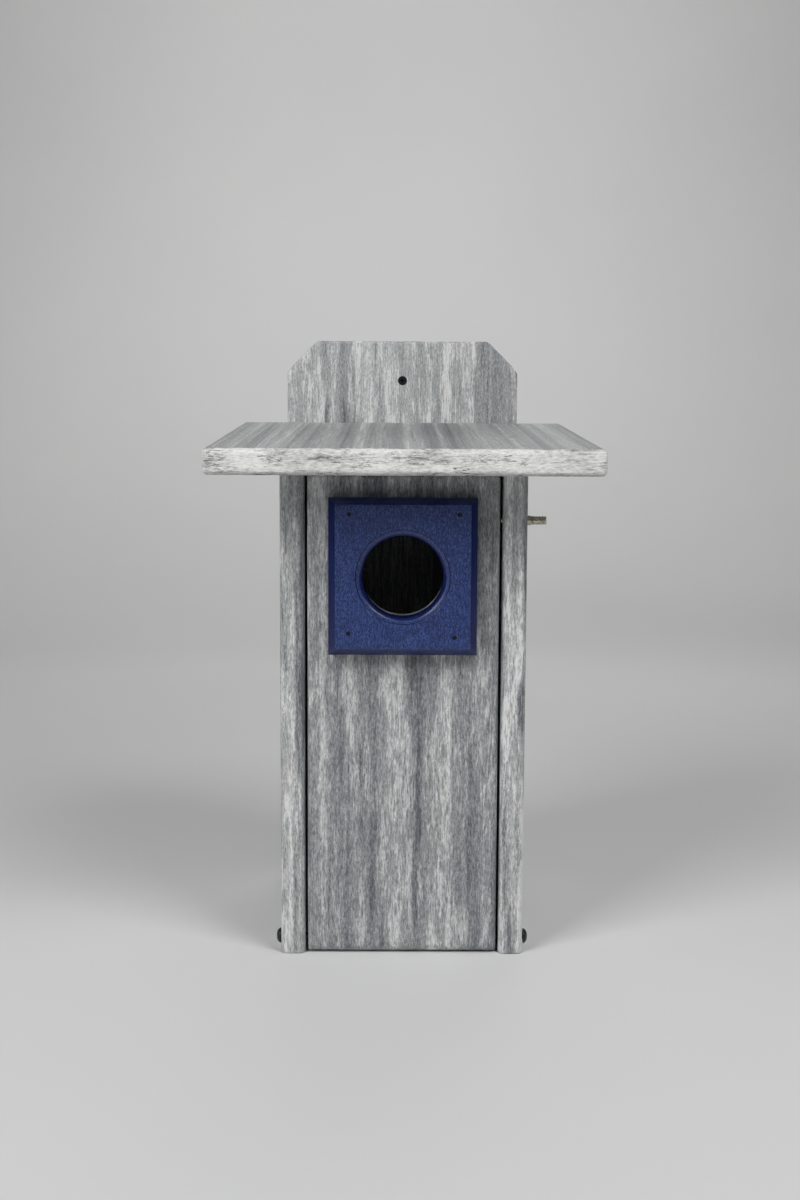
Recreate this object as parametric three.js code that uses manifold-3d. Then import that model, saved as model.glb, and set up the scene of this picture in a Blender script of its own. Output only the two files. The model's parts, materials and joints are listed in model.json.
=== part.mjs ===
// A bluebird house of half-inch poly lumber with a front panel that drops open.
// Millimetres, +X right, -Y front, +Z up. The house stands on z = 0 and is centred on the origin.
import * as THREE from 'three';
import { mergeVertices } from 'three/addons/utils/BufferGeometryUtils.js';
import Module from 'manifold-3d';

const wasm = await Module();
wasm.setup();

// ---------------------------------------------------------------- driving dimensions
const BOARD = 12; // thickness of every board, nominal half-inch stock
const GAP = 0.3; // space left between pieces that touch
const RUNNING_GAP = 0.45; // space round a pin that turns

const HOUSE_HEIGHT = 304.8; // to the top of the back board
const BACK_WIDTH = 128.4;
const BACK_CORNER = 16.7; // 45 degree cut at each top corner
const BACK_EASE = 1.6; // rounding of the back board's edges

const ROOF_WIDTH = 177.8;
const ROOF_DEPTH = 178.9; // in plan, front edge to back board
const ROOF_SLOPE = THREE.MathUtils.degToRad(4.8);
const ROOF_TOP_FRONT = 244.7; // height of the roof's upper front edge
const ROOF_EASE = 2.4; // rounding of the roof's edges
const ROOF_CORNER = 3.5; // rounding of its corners in plan

const BODY_WIDTH = 117.8; // outside the two side boards
const BODY_DEPTH = 129.5; // front of the side boards to the back board
const SIDE_EASE = 3.0; // rounding of the side boards' front edges
const VENT_RADIUS = 4.75;
const VENT_BELOW_ROOF = 15;
const VENT_Y = [4, 33];

const FLOOR_THICKNESS = BOARD;
const FLOOR_BASE = 6.35; // the floor board is set up from the bottom edges
const FLOOR_SET_BACK = 2.5; // clear of the front panel's swing
const DRAIN_RADIUS = 3.2;
const DRAIN_X = 32;
const DRAIN_INSET = 12;

const PANEL_SIDE_GAP = 1.2; // front panel to side board, each side
const PANEL_BASE = 0.8;
const PANEL_TOP = 233;
const PANEL_EASE = 1.8; // rounding of its front edges
const PANEL_BACK_EASE = 1.0;
const PANEL_HEEL = 4.5; // rounding of its bottom edge, which turns inside the house
const RUNG_COUNT = 5; // grooves inside, for young birds to climb
const RUNG_PITCH = 12;
const RUNG_TOP = 158;
const RUNG_WIDTH = 50;
const RUNG_HEIGHT = 1.8;
const RUNG_DEPTH = 1.5;

const ENTRANCE_RADIUS = 19.05;
const ENTRANCE_Z = 185.3;
const PANEL_HOLE_RADIUS = 19.5; // the hole in the panel is a little wider than the one in the plate
const PLATE_WIDTH = 69.85;
const PLATE_HEIGHT = 73.9;
const PLATE_X = -0.4;
const PLATE_CHAMFER = 3.2;
const PLATE_ROUNDOVER = 2.75; // round its hole
const PLATE_LEDGE = 0.6; // step that the rounding leaves at the plate's face
const PLATE_NAILS = [[-25.5, 214.6], [25.9, 214.6], [-25.8, 158.9], [23.9, 157.1]];

const PIVOT_Z = 7.3;
const PIVOT_STAND_OFF = { left: GAP, right: 0.6 }; // head to side board

const LATCH_Z = 211.3;
const LATCH_SHANK_RADIUS = 1.4;
const LATCH_GRIP_RADIUS = 2.12;
const LATCH_GRIP_LENGTH = 6.6;
const LATCH_GROOVES = 4;
const LATCH_GROOVE_DEPTH = 0.28;
const BUSH_BORE_RADIUS = 1.75;
const BUSH_RADIUS = 2.35;
const BUSH_PROUD = 2.1; // outside the side board
const LATCH_EDGE = 0.3; // broken edge at the outer ends of the pin and the bush

const MOUNT_SCREW_Z = 283;
const SIDE_SCREW_Z = [32, 122, 212]; // back board into the side boards
const BACK_SCREW_X = { floor: 15, roof: 38 }; // back board into the floor and the roof, from the middle
const ROOF_SCREW_DROP = 1; // those in the roof lie this far under its middle
const ROOF_SCREW_Y = [-20, 54]; // roof into the side boards
const FLOOR_SCREW_Y = [-5, 58]; // side boards into the floor
const SINK = 0.4; // screw heads lie this far under the surface
const NAIL_SINK = 0.15;
const HEAD_RIM = 0.2; // share of a countersunk head's depth that is its straight rim
const DOME_RIM = 0.25; // share of a domed head's height that is its straight rim
const DOME_PROFILE = [[0.86, -0.38], [0.5, -0.08]]; // shares of its radius and height, from rim to crown

const FASTENER_SIDES = 12; // facets of each round
const LATCH_SIDES = 16;
const VENT_SIDES = 20;
const ENTRANCE_SIDES = 40;
const ENTRANCE_ARC_STEPS = 5;
const DRILL_RUN_OUT = 2; // how far a drill hole runs past the surface

const DECK_SCREW = { head: 3.4, headDepth: 2.2, shank: 1.7, length: 32, tip: 4, slot: 0.9 };
const TRIM_SCREW = { head: 2.4, headDepth: 2.0, shank: 1.5, length: 32, tip: 4, slot: 0.6 };
const MOUNT_SCREW = { head: 2.45, headDepth: 2.0, shank: 1.3, length: 10.5, tip: 2, slot: 0.7 };
const NAIL = { head: 1.02, headDepth: 0.6, shank: 0.7, length: 22, tip: 2, slot: 0 };
const PIVOT_SCREW = { head: 3.75, dome: 2.2, shank: 2.1, length: 30, tip: 3, slot: 1.0 };

// ---------------------------------------------------------------- derived places
const BACK_FACE = (ROOF_DEPTH + BOARD) / 2;
const BACK_FRONT = BACK_FACE - BOARD;
const BODY_FRONT = BACK_FRONT - BODY_DEPTH;
const SIDE_OUTER = BODY_WIDTH / 2;
const SIDE_INNER = SIDE_OUTER - BOARD;
const SIDE_X = SIDE_OUTER - BOARD / 2;
const PANEL_Y = BODY_FRONT + BOARD / 2;
const PANEL_WIDTH = 2 * (SIDE_INNER - PANEL_SIDE_GAP);
const FLOOR_FRONT = BODY_FRONT + BOARD + FLOOR_SET_BACK;
const FLOOR_Z = FLOOR_BASE + FLOOR_THICKNESS / 2;
const PLATE_BACK = BODY_FRONT - GAP;
const PLATE_FRONT = PLATE_BACK - BOARD;

// The roof's local origin is its lower front edge; local +Y runs up the slope, local +Z is its normal.
const ROOF_ORIGIN = new THREE.Vector3(
  0,
  -BACK_FACE + (BOARD - ROOF_EASE) * Math.sin(ROOF_SLOPE),
  ROOF_TOP_FRONT - BOARD * Math.cos(ROOF_SLOPE),
);
const ROOF_INTO = new THREE.Vector3(0, Math.sin(ROOF_SLOPE), -Math.cos(ROOF_SLOPE));

function roofUnderside(y) {
  return ROOF_ORIGIN.z + (y - ROOF_ORIGIN.y) * Math.tan(ROOF_SLOPE);
}

function roofTop(y) {
  return roofUnderside(y) + BOARD / Math.cos(ROOF_SLOPE);
}

// ---------------------------------------------------------------- materials
const greyLumber = { color: 0x8a8e90, roughness: 0.75, metalness: 0 };
const blueLumber = { color: 0x2d3a76, roughness: 0.5, metalness: 0 };
const blackScrew = { color: 0x15161a, roughness: 0.45, metalness: 0.6 };
const brass = { color: 0x8d8262, roughness: 0.35, metalness: 1 };
const brightSteel = { color: 0x9b9ea2, roughness: 0.3, metalness: 1 };

// ---------------------------------------------------------------- solids and booleans
function solidOf(geometry) {
  const bare = geometry.clone();
  bare.deleteAttribute('normal');
  bare.deleteAttribute('uv');
  const welded = mergeVertices(bare, 1e-4);
  return new wasm.Manifold(new wasm.Mesh({
    numProp: 3,
    vertProperties: new Float32Array(welded.attributes.position.array),
    triVerts: new Uint32Array(welded.index.array),
  }));
}

function geometryOf(solid) {
  const { vertProperties, triVerts } = solid.getMesh();
  const indexed = new THREE.BufferGeometry();
  indexed.setAttribute('position', new THREE.BufferAttribute(vertProperties, 3));
  indexed.setIndex(new THREE.BufferAttribute(triVerts, 1));
  const flat = indexed.toNonIndexed();
  flat.computeVertexNormals();
  return flat;
}

function subtract(geometry, ...cutters) {
  let solid = solidOf(geometry);
  for (const cutter of cutters) {
    solid = solid.subtract(solidOf(cutter));
  }
  return geometryOf(solid);
}

function intersect(first, second) {
  return geometryOf(solidOf(first).intersect(solidOf(second)));
}

function makePart(name, geometry, look, position = new THREE.Vector3()) {
  const mesh = new THREE.Mesh(geometry, new THREE.MeshStandardMaterial(look));
  mesh.name = name;
  mesh.position.copy(position);
  return mesh;
}

// Cuts a shape that is given in the house's frame out of a part that has a place of its own.
function cutInHouseFrame(part, cutter) {
  part.updateWorldMatrix(true, false);
  const toPart = part.matrixWorld.clone().invert();
  part.geometry = subtract(part.geometry, cutter.clone().applyMatrix4(toPart));
}

// ---------------------------------------------------------------- outlines
// A rectangle from (x0, y0) to (x1, y1); radii run from its lower left corner, anticlockwise.
function roundedRectangle(x0, y0, x1, y1, [lowerLeft, lowerRight, upperRight, upperLeft]) {
  const shape = new THREE.Shape();
  const corner = (x, y, sx, sy, radius, quarterTurns) => {
    if (radius === 0) {
      shape.lineTo(x, y);
      return;
    }
    const start = quarterTurns * (Math.PI / 2);
    shape.absarc(x + sx * radius, y + sy * radius, radius, start, start + Math.PI / 2);
  };
  shape.moveTo(x0, y0 + lowerLeft);
  corner(x0, y0, 1, 1, lowerLeft, 2);
  corner(x1, y0, -1, 1, lowerRight, 3);
  corner(x1, y1, -1, -1, upperRight, 0);
  corner(x0, y1, 1, -1, upperLeft, 1);
  return shape;
}

function extrude(shape, depth, curveSegments = 4) {
  return new THREE.ExtrudeGeometry(shape, { depth, bevelEnabled: false, curveSegments });
}

// An extruded outline whose two rims are eased, keeping the outline's full size.
function easedExtrude(shape, depth, ease, bevelSegments, curveSegments = 3) {
  const inner = { depth: depth - 2 * ease, bevelThickness: ease, bevelSize: ease, bevelOffset: -ease };
  const geometry = new THREE.ExtrudeGeometry(shape, { ...inner, bevelSegments, curveSegments });
  return geometry.translate(0, 0, ease);
}

// Turns a (y, z) outline extruded along Z into one that is extruded along X, centred on x = 0.
function alongX(geometry, width) {
  const axes = new THREE.Matrix4().set(0, 0, 1, -width / 2, 1, 0, 0, 0, 0, 1, 0, 0, 0, 0, 0, 1);
  return geometry.applyMatrix4(axes);
}

// Turns an (x, z) outline extruded along Z into one that runs from y = back towards the front.
function towardsFront(geometry, back) {
  return geometry.rotateX(Math.PI / 2).translate(0, back, 0);
}

function cylinderAlong(axis, radius, length, sides) {
  const geometry = new THREE.CylinderGeometry(radius, radius, length, sides);
  const turn = new THREE.Quaternion().setFromUnitVectors(new THREE.Vector3(0, 1, 0), axis);
  return geometry.applyQuaternion(turn);
}

// ---------------------------------------------------------------- fasteners
// Local frame: the head's top is at the origin and the point is at y = -length.
function lathe(profile, sides = FASTENER_SIDES) {
  const points = profile.map(([radius, y]) => new THREE.Vector2(radius, y));
  return new THREE.LatheGeometry(points, sides);
}

function crossSlot(spec, reach, depth) {
  const along = new THREE.BoxGeometry(2 * reach, 2 * depth, spec.slot);
  const across = new THREE.BoxGeometry(spec.slot, 2 * depth, 2 * reach);
  return [along, across];
}

function countersunk(spec) {
  const { head, headDepth, shank, length, tip, slot } = spec;
  const body = lathe([
    [0, -length],
    [shank, tip - length],
    [shank, -headDepth],
    [head, -headDepth * HEAD_RIM],
    [head, 0],
    [0, 0],
  ]);
  return slot > 0 ? subtract(body, ...crossSlot(spec, head * 0.6, headDepth * 0.6)) : body;
}

function domed({ head, dome, shank, length, tip, slot }) {
  const body = lathe([
    [0, -length],
    [shank, tip - length],
    [shank, -dome],
    [head, -dome],
    [head, dome * (DOME_RIM - 1)],
    ...DOME_PROFILE.map(([across, down]) => [head * across, dome * down]),
    [0, 0],
  ]);
  return subtract(body, ...crossSlot({ slot }, head * 0.5, dome * 0.55));
}

function drillFor(spec, clearance) {
  const { shank, length } = spec;
  const bottom = -length - clearance;
  if (spec.dome) {
    return lathe([[0, bottom], [shank + clearance, bottom], [shank + clearance, 0], [0, 0]]);
  }
  const mouth = spec.head + clearance;
  return lathe([
    [0, bottom],
    [shank + clearance, bottom],
    [shank + clearance, -spec.headDepth - clearance],
    [mouth, -spec.headDepth * HEAD_RIM - clearance],
    [mouth, DRILL_RUN_OUT],
    [0, DRILL_RUN_OUT],
  ]);
}

function makeFastener(name, spec, look, surfacePoint, direction, sink = SINK) {
  const fastener = makePart(name, spec.dome ? domed(spec) : countersunk(spec), look);
  fastener.position.copy(surfacePoint).addScaledVector(direction, sink);
  fastener.quaternion.setFromUnitVectors(new THREE.Vector3(0, -1, 0), direction);
  fastener.userData.spec = spec;
  return fastener;
}

// Drills each board for every fastener that passes through it.
function drill(board, fasteners, clearance = GAP) {
  for (const fastener of fasteners) {
    fastener.updateWorldMatrix(true, false);
    const hole = drillFor(fastener.userData.spec, clearance);
    cutInHouseFrame(board, hole.applyMatrix4(fastener.matrixWorld));
  }
}

// ---------------------------------------------------------------- boards
function backBoard() {
  const half = BACK_WIDTH / 2;
  const outline = new THREE.Shape([
    new THREE.Vector2(-half, 0),
    new THREE.Vector2(half, 0),
    new THREE.Vector2(half, HOUSE_HEIGHT - BACK_CORNER),
    new THREE.Vector2(half - BACK_CORNER, HOUSE_HEIGHT),
    new THREE.Vector2(BACK_CORNER - half, HOUSE_HEIGHT),
    new THREE.Vector2(-half, HOUSE_HEIGHT - BACK_CORNER),
  ]);
  const geometry = towardsFront(easedExtrude(outline, BOARD, BACK_EASE, 2), BOARD);
  return makePart('back_board', geometry, greyLumber, new THREE.Vector3(0, BACK_FRONT, 0));
}

function sideBoard(name, side) {
  const back = BACK_FRONT - GAP;
  const lift = GAP / Math.cos(ROOF_SLOPE);
  const profile = new THREE.Shape([
    new THREE.Vector2(BODY_FRONT, 0),
    new THREE.Vector2(back, 0),
    new THREE.Vector2(back, roofUnderside(back) - lift),
    new THREE.Vector2(BODY_FRONT, roofUnderside(BODY_FRONT) - lift),
  ]);
  const slab = alongX(extrude(profile, BOARD), BOARD);
  const halfBoard = BOARD / 2;
  const plan = roundedRectangle(
    -halfBoard, BODY_FRONT, halfBoard, BACK_FRONT, [SIDE_EASE, SIDE_EASE, 0, 0],
  );
  const eased = intersect(slab, extrude(plan, HOUSE_HEIGHT));
  const vents = VENT_Y.map((y) => {
    const vent = cylinderAlong(new THREE.Vector3(1, 0, 0), VENT_RADIUS, 2 * BOARD, VENT_SIDES);
    return vent.translate(0, y, roofUnderside(y) - VENT_BELOW_ROOF);
  });
  return makePart(name, subtract(eased, ...vents), greyLumber, new THREE.Vector3(side * SIDE_X, 0, 0));
}

function roofBoard() {
  const length = ROOF_DEPTH / Math.cos(ROOF_SLOPE) + BOARD;
  const radii = [ROOF_CORNER, ROOF_CORNER, 0, 0];
  const plan = roundedRectangle(-ROOF_WIDTH / 2, 0, ROOF_WIDTH / 2, length, radii);
  const roof = makePart('roof', easedExtrude(plan, BOARD, ROOF_EASE, 3), greyLumber, ROOF_ORIGIN);
  roof.rotation.x = ROOF_SLOPE;
  const behind = new THREE.BoxGeometry(2 * ROOF_WIDTH, ROOF_WIDTH, 2 * ROOF_WIDTH);
  cutInHouseFrame(roof, behind.translate(0, BACK_FRONT - GAP + ROOF_WIDTH / 2, ROOF_TOP_FRONT));
  return roof;
}

function floorPanel() {
  const halfWidth = SIDE_INNER - GAP;
  const depth = BACK_FRONT - GAP - FLOOR_FRONT;
  const board = new THREE.BoxGeometry(2 * halfWidth, depth, FLOOR_THICKNESS);
  const drainY = depth / 2 - DRAIN_INSET;
  const drains = [[-1, -1], [1, -1], [-1, 1], [1, 1]].map(([sx, sy]) => {
    const drain = cylinderAlong(new THREE.Vector3(0, 0, 1), DRAIN_RADIUS, 2 * BOARD, VENT_SIDES);
    return drain.translate(sx * DRAIN_X, sy * drainY, 0);
  });
  const centre = new THREE.Vector3(0, FLOOR_FRONT + depth / 2, FLOOR_Z);
  return makePart('floor_panel', subtract(board, ...drains), greyLumber, centre);
}

// ---------------------------------------------------------------- the drop-down front
// Its parts are placed from the pivot axis.
function frontPanel() {
  const half = PANEL_WIDTH / 2;
  const halfBoard = BOARD / 2;
  const base = PANEL_BASE - PIVOT_Z;
  const top = PANEL_TOP - PIVOT_Z;
  const plan = roundedRectangle(
    -half, -halfBoard, half, halfBoard, [PANEL_EASE, PANEL_EASE, PANEL_BACK_EASE, PANEL_BACK_EASE],
  );
  const upright = extrude(plan, HOUSE_HEIGHT).translate(0, 0, -BOARD);
  const profile = roundedRectangle(
    -halfBoard, base, halfBoard, top, [PANEL_HEEL, PANEL_HEEL, PANEL_BACK_EASE, PANEL_EASE],
  );
  const slab = alongX(extrude(profile, PANEL_WIDTH), PANEL_WIDTH);
  const bore = cylinderAlong(new THREE.Vector3(0, 1, 0), PANEL_HOLE_RADIUS, 2 * BOARD, ENTRANCE_SIDES);
  bore.translate(PLATE_X, 0, ENTRANCE_Z - PIVOT_Z);
  const rungs = Array.from({ length: RUNG_COUNT }, (_, i) => {
    const rung = new THREE.BoxGeometry(RUNG_WIDTH, 2 * RUNG_DEPTH, RUNG_HEIGHT);
    return rung.translate(0, halfBoard, RUNG_TOP - i * RUNG_PITCH - PIVOT_Z);
  });
  return makePart('front_panel', subtract(intersect(upright, slab), bore, ...rungs), greyLumber);
}

function entrancePlate() {
  const half = PLATE_WIDTH / 2;
  const halfHeight = PLATE_HEIGHT / 2;
  const outline = new THREE.Shape([
    new THREE.Vector2(-half, -halfHeight),
    new THREE.Vector2(half, -halfHeight),
    new THREE.Vector2(half, halfHeight),
    new THREE.Vector2(-half, halfHeight),
  ]);
  const thick = easedExtrude(outline, 2 * BOARD, PLATE_CHAMFER, 1);
  towardsFront(thick, BOARD);
  const rear = new THREE.BoxGeometry(2 * PLATE_WIDTH, 2 * BOARD, 2 * PLATE_HEIGHT);
  rear.translate(0, BOARD, 0);
  const flare = Array.from({ length: ENTRANCE_ARC_STEPS + 1 }, (_, i) => {
    const turn = (i / ENTRANCE_ARC_STEPS) * (Math.PI / 2);
    const radius = ENTRANCE_RADIUS + PLATE_ROUNDOVER * (1 - Math.cos(turn));
    return [radius, PLATE_LEDGE - BOARD + PLATE_ROUNDOVER * (1 - Math.sin(turn))];
  });
  const mouthRadius = ENTRANCE_RADIUS + PLATE_ROUNDOVER;
  const bore = lathe([
    [0, -2 * BOARD], [mouthRadius, -2 * BOARD], ...flare.reverse(), [ENTRANCE_RADIUS, BOARD], [0, BOARD],
  ], ENTRANCE_SIDES);
  const place = new THREE.Vector3(PLATE_X, PLATE_BACK - PANEL_Y, ENTRANCE_Z - PIVOT_Z);
  return makePart('entrance_plate', subtract(thick, rear, bore), blueLumber, place);
}

// ---------------------------------------------------------------- latch
// Local frame of both pieces: the axis is X, and x = 0 is the side board's outer face.
function latchBush() {
  const inner = GAP - BOARD;
  const ring = lathe([
    [BUSH_BORE_RADIUS, inner],
    [BUSH_RADIUS, inner],
    [BUSH_RADIUS, BUSH_PROUD - LATCH_EDGE],
    [BUSH_RADIUS - LATCH_EDGE, BUSH_PROUD],
    [BUSH_BORE_RADIUS, BUSH_PROUD],
    [BUSH_BORE_RADIUS, inner],
  ], LATCH_SIDES);
  return ring.rotateZ(-Math.PI / 2);
}

function latchPin() {
  const start = BUSH_PROUD + GAP;
  const end = start + LATCH_GRIP_LENGTH;
  const land = LATCH_GRIP_LENGTH / (2 * LATCH_GROOVES + 1);
  const grip = [];
  for (let i = 0; i < LATCH_GROOVES; i += 1) {
    const near = start + land * (2 * i + 1);
    grip.push([LATCH_GRIP_RADIUS, near], [LATCH_GRIP_RADIUS - LATCH_GROOVE_DEPTH, near + land / 2]);
    grip.push([LATCH_GRIP_RADIUS, near + land]);
  }
  const shankEnd = GAP - BOARD - PANEL_SIDE_GAP;
  const pin = lathe([
    [0, shankEnd],
    [LATCH_SHANK_RADIUS, shankEnd],
    [LATCH_SHANK_RADIUS, start],
    [LATCH_GRIP_RADIUS, start],
    ...grip,
    [LATCH_GRIP_RADIUS, end - LATCH_EDGE],
    [LATCH_GRIP_RADIUS - LATCH_EDGE, end],
    [0, end],
  ], LATCH_SIDES);
  return pin.rotateZ(-Math.PI / 2);
}

// ---------------------------------------------------------------- assembly
const birdhouse = new THREE.Group();
const front = new THREE.Group();
front.position.set(0, PANEL_Y, PIVOT_Z);

const back = backBoard();
const leftSide = sideBoard('left_side', -1);
const rightSide = sideBoard('right_side', 1);
const roof = roofBoard();
const floor = floorPanel();
birdhouse.add(back, leftSide, rightSide, roof, floor);

const panel = frontPanel();
const plate = entrancePlate();
front.add(panel, plate);
birdhouse.add(front);

const towardsBack = new THREE.Vector3(0, 1, 0);
const towardsHouseFront = new THREE.Vector3(0, -1, 0);
const towardsRight = new THREE.Vector3(1, 0, 0);
const towardsLeft = new THREE.Vector3(-1, 0, 0);

const mountSurface = new THREE.Vector3(0, BACK_FRONT, MOUNT_SCREW_Z);
const mountScrew = makeFastener('mounting_screw', MOUNT_SCREW, blackScrew, mountSurface, towardsBack);
birdhouse.add(mountScrew);
drill(back, [mountScrew]);

// Through the back board: into both side boards, the floor and the roof.
[['left', leftSide, -SIDE_X], ['right', rightSide, SIDE_X]].forEach(([word, board, x]) => {
  const screws = SIDE_SCREW_Z.map((z, i) => {
    const surface = new THREE.Vector3(x, BACK_FACE, z);
    return makeFastener(`back_screw_${word}_${i + 1}`, DECK_SCREW, blackScrew, surface, towardsHouseFront);
  });
  birdhouse.add(...screws);
  drill(back, screws);
  drill(board, screws);
});
const roofScrewZ = roofTop(BACK_FRONT) - BOARD / 2 / Math.cos(ROOF_SLOPE) - ROOF_SCREW_DROP;
[['floor', floor, FLOOR_Z], ['roof', roof, roofScrewZ]].forEach(([word, board, z]) => {
  const screws = [-BACK_SCREW_X[word], BACK_SCREW_X[word]].map((screwX, i) => {
    const surface = new THREE.Vector3(screwX, BACK_FACE, z);
    return makeFastener(`back_${word}_screw_${i + 1}`, DECK_SCREW, blackScrew, surface, towardsHouseFront);
  });
  birdhouse.add(...screws);
  drill(back, screws);
  drill(board, screws);
});

// Down through the roof into the side boards, and through the side boards into the floor.
[['left', leftSide, -1, towardsRight], ['right', rightSide, 1, towardsLeft]].forEach(
  ([word, board, side, inward]) => {
    const roofScrews = ROOF_SCREW_Y.map((y, i) => {
      const surface = new THREE.Vector3(side * SIDE_X, y, roofTop(y));
      return makeFastener(`roof_screw_${word}_${i + 1}`, TRIM_SCREW, blackScrew, surface, ROOF_INTO);
    });
    const floorScrews = FLOOR_SCREW_Y.map((y, i) => {
      const surface = new THREE.Vector3(side * SIDE_OUTER, y, FLOOR_Z);
      return makeFastener(`floor_screw_${word}_${i + 1}`, DECK_SCREW, blackScrew, surface, inward);
    });
    birdhouse.add(...roofScrews, ...floorScrews);
    drill(roof, roofScrews);
    drill(board, [...roofScrews, ...floorScrews]);
    drill(floor, floorScrews);
  },
);

// The front turns on one screw from each side, which is fixed in the panel and free in the side board.
[['left', leftSide, -1, towardsRight], ['right', rightSide, 1, towardsLeft]].forEach(
  ([word, board, side, inward]) => {
    const outside = side * (SIDE_OUTER + PIVOT_STAND_OFF[word] + PIVOT_SCREW.dome);
    const place = new THREE.Vector3(outside, 0, 0);
    const screw = makeFastener(`pivot_screw_${word}`, PIVOT_SCREW, blackScrew, place, inward, 0);
    front.add(screw);
    drill(panel, [screw]);
    drill(board, [screw], RUNNING_GAP);
  },
);

const plateNails = PLATE_NAILS.map(([x, z], i) => {
  const surface = new THREE.Vector3(x, PLATE_FRONT - PANEL_Y, z - PIVOT_Z);
  return makeFastener(`plate_nail_${i + 1}`, NAIL, brightSteel, surface, towardsBack, NAIL_SINK);
});
front.add(...plateNails);
drill(plate, plateNails);
drill(panel, plateNails);

const latchPlace = new THREE.Vector3(SIDE_OUTER, PANEL_Y, LATCH_Z);
const bushHole = cylinderAlong(towardsRight, BUSH_RADIUS + GAP, 3 * BOARD, LATCH_SIDES);
cutInHouseFrame(rightSide, bushHole.translate(SIDE_OUTER, PANEL_Y, LATCH_Z));
birdhouse.add(makePart('latch_bush', latchBush(), brass, latchPlace));
birdhouse.add(makePart('latch_pin', latchPin(), brass, latchPlace));

export default birdhouse;
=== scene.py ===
"""A bluebird house of grey and blue poly lumber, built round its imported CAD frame.

Metres, +X right, -Y front, +Z up, as in the frame.
"""

import json
import math

import bmesh
import bpy
from mathutils import Matrix, Vector, noise


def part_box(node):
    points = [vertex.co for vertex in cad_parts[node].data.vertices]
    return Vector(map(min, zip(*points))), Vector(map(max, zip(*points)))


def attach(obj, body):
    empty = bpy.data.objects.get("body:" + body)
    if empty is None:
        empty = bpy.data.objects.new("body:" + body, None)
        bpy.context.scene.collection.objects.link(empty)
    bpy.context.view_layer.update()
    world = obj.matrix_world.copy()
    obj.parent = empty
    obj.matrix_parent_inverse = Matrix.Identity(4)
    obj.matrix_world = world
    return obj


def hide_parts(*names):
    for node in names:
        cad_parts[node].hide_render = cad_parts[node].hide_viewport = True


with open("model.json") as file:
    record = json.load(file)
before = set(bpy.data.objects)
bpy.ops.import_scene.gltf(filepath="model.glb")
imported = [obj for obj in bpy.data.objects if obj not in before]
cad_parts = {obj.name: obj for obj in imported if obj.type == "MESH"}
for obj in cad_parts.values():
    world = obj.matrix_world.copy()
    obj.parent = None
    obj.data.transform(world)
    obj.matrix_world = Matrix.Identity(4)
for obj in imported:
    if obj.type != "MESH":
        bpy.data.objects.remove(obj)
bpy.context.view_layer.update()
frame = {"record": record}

MM = 0.001
X_AXIS, Y_AXIS, Z_AXIS = 0, 1, 2

# ------------------------------------------------------------------ sizes
ROOF_SLOPE = math.radians(4.8)
ROOF_EASE = 2.4 * MM
BACK_CORNER = 16.7 * MM
BACK_EASE = 1.6 * MM
SIDE_EASE = 3.0 * MM
PANEL_EASE = 1.8 * MM
PANEL_BACK_EASE = 1.0 * MM
PANEL_HEEL = 4.5 * MM
HEEL_MARKS = tuple(PANEL_HEEL * share for share in (0.03, 0.1, 0.2, 0.33, 0.5, 0.7, 1.0))
SAW_EASE = 0.45 * MM  # a sawn edge, barely broken
EASE_STEPS = 4  # grid lines in each rounded edge

ACROSS_STEP = 0.8 * MM  # grid spacing across the grain
ALONG_STEP = 4.0 * MM  # and along it
RELIEF = 0.16 * MM  # depth of the embossed grain

ENTRANCE_RADIUS = 19.05 * MM
PANEL_HOLE_EXTRA = 0.75 * MM  # the panel's hole is a little wider than the plate's
PLATE_CHAMFER = 3.2 * MM
PLATE_ROUND = 2.75 * MM
PLATE_LEDGE = 0.6 * MM  # step that the rounding cutter leaves at the face
PLATE_LIP = 0.25 * MM  # flat between the rounding and that step
PLATE_ARRIS = 0.3 * MM  # width of its broken edges
PLATE_RIM_POINTS = 32  # grid points along each edge of the plate
PLATE_FACE_RINGS = 12
VENT_RADIUS = 4.75 * MM
VENT_Y = (4 * MM, 33 * MM)
VENT_BELOW_ROOF = 15 * MM
DRAIN_RADIUS = 3.2 * MM
DRAIN_X = 32 * MM
DRAIN_INSET = 12 * MM
RUNG_Z = tuple((158 - 12 * i) * MM for i in range(5))
RUNG_SIZE = (50 * MM, 1.5 * MM, 1.8 * MM)
HOLE_CLEARANCE = 0.15 * MM
PIVOT_CLEARANCE = 0.4 * MM

BODY_OF = {
    node: body for body, nodes in frame["record"]["behaviour"]["bodies"].items() for node in nodes
}


# ------------------------------------------------------------------ placing pieces
def finish_piece(piece, node, material):
    """Gives a piece its material and its body, and hides the CAD node that it stands for."""
    piece.data.materials.clear()
    piece.data.materials.append(material)
    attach(piece, BODY_OF[node])
    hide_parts(node)
    return piece


def new_object(name, mesh):
    piece = bpy.data.objects.new(name, mesh)
    bpy.context.scene.collection.objects.link(piece)
    return piece


def mesh_from(name, vertices, faces):
    mesh = bpy.data.meshes.new(name)
    mesh.from_pydata([tuple(v) for v in vertices], [], faces)
    mesh.validate()
    return mesh


def apply_modifiers(piece):
    """Replaces the mesh by its evaluated form and drops the modifiers."""
    evaluated = piece.evaluated_get(bpy.context.evaluated_depsgraph_get())
    piece.data = bpy.data.meshes.new_from_object(evaluated)
    piece.modifiers.clear()


def shade(piece, sharp_degrees=32):
    for polygon in piece.data.polygons:
        polygon.use_smooth = True
    piece.data.set_sharp_from_angle(angle=math.radians(sharp_degrees))


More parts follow.
